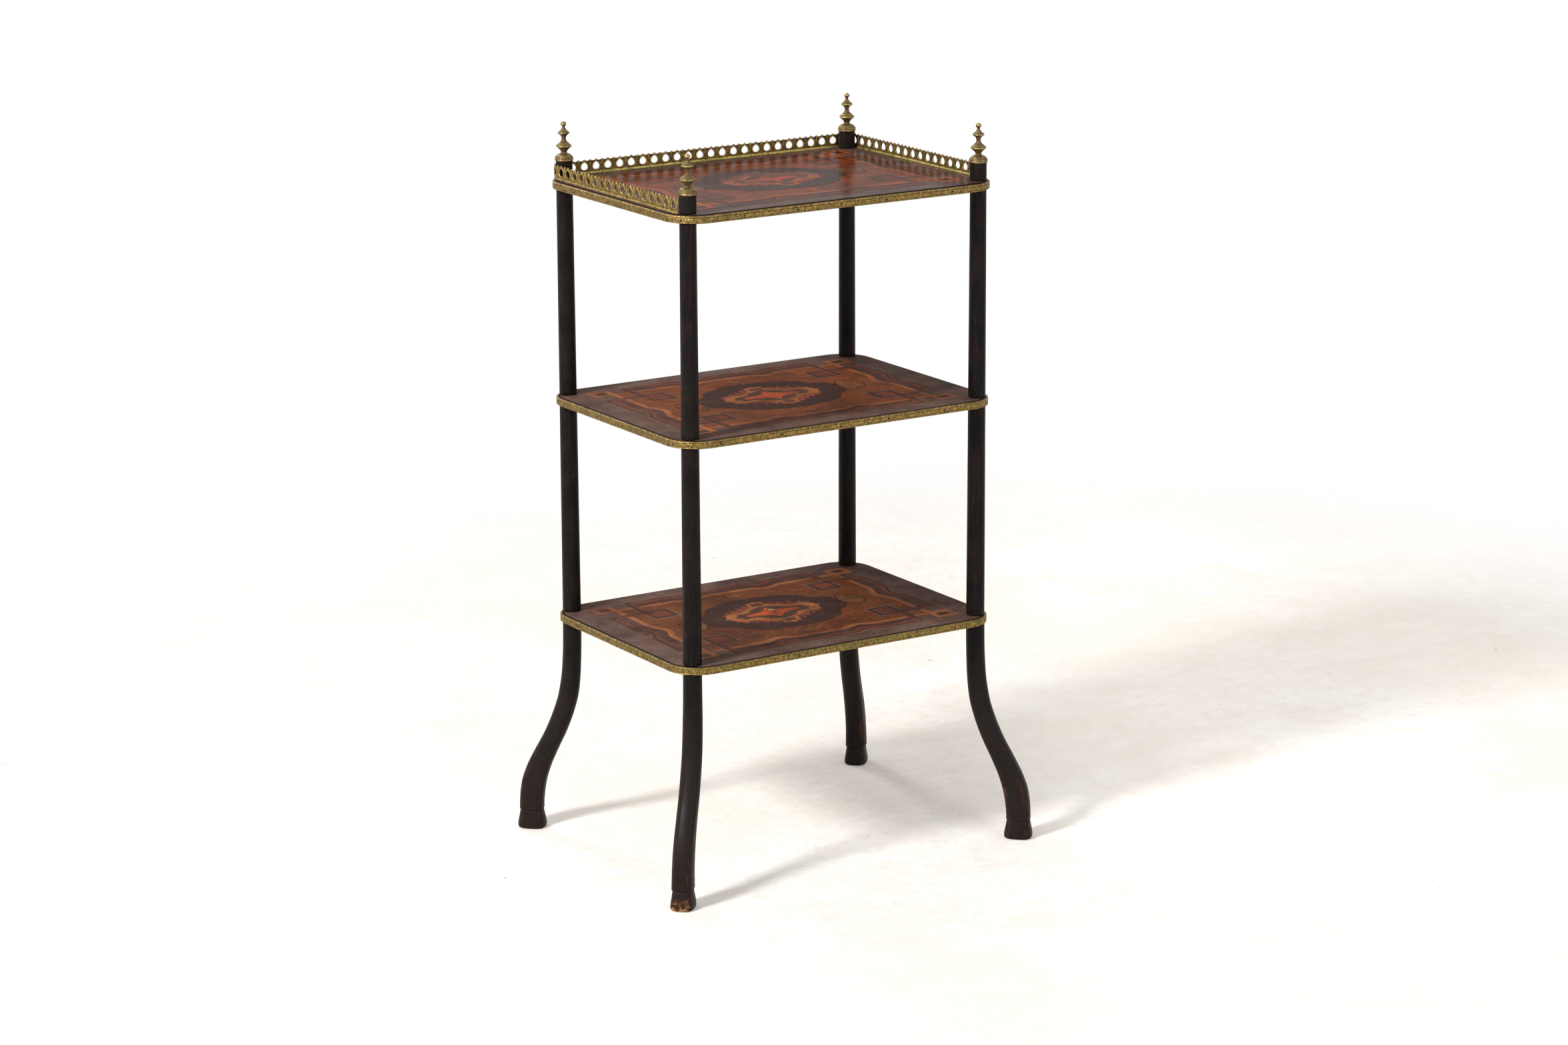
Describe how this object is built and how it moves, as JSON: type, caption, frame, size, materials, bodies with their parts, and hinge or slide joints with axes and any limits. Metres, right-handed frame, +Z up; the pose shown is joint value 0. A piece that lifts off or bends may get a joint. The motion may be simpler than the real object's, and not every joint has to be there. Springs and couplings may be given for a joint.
{
  "type": "etagere",
  "caption": "Tiered display stand: marquetry shelves in brass bands on slim ebonised posts with splayed hoofed legs, turned finials and a pierced brass gallery.",
  "frame": {"origin": "centre of the footprint, at floor level", "axes": "+X to the right seen from the open long side, +Y from the open long side to the back, +Z up"},
  "size_m": [0.548, 0.424, 0.9385],
  "materials": {
    "ebonised_wood": "ebonised and waxed, worn at the edges",
    "carcase_wood": "plain stained wood",
    "rosewood_veneer": "satin varnish with dust",
    "burr_veneer": "satin varnish",
    "dark_inlay": "satin varnish",
    "aged_brass": "cast and aged, rubbed bright on the high places"
  },
  "bodies": {
    "root": {"shelf_core_bottom": "carcase_wood", "border_veneer_bottom": "rosewood_veneer", "field_veneer_bottom": "burr_veneer", "cartouche_veneer_bottom": "dark_inlay", "brass_band_bottom": "aged_brass", "shelf_core_middle": "carcase_wood", "border_veneer_middle": "rosewood_veneer", "field_veneer_middle": "burr_veneer", "cartouche_veneer_middle": "dark_inlay", "brass_band_middle": "aged_brass", "shelf_core_top": "carcase_wood", "border_veneer_top": "rosewood_veneer", "field_veneer_top": "burr_veneer", "cartouche_veneer_top": "dark_inlay", "brass_band_top": "aged_brass", "leg_front_left": "ebonised_wood", "leg_front_right": "ebonised_wood", "leg_back_left": "ebonised_wood", "leg_back_right": "ebonised_wood", "lower_post_front_left": "ebonised_wood", "lower_post_front_right": "ebonised_wood", "lower_post_back_left": "ebonised_wood", "lower_post_back_right": "ebonised_wood", "upper_post_front_left": "ebonised_wood", "upper_post_front_right": "ebonised_wood", "upper_post_back_left": "ebonised_wood", "upper_post_back_right": "ebonised_wood", "post_stub_front_left": "ebonised_wood", "post_stub_front_right": "ebonised_wood", "post_stub_back_left": "ebonised_wood", "post_stub_back_right": "ebonised_wood", "finial_front_left": "aged_brass", "finial_front_right": "aged_brass", "finial_back_left": "aged_brass", "finial_back_right": "aged_brass", "gallery_left": "aged_brass", "gallery_right": "aged_brass"}
  },
  "joints": []
}
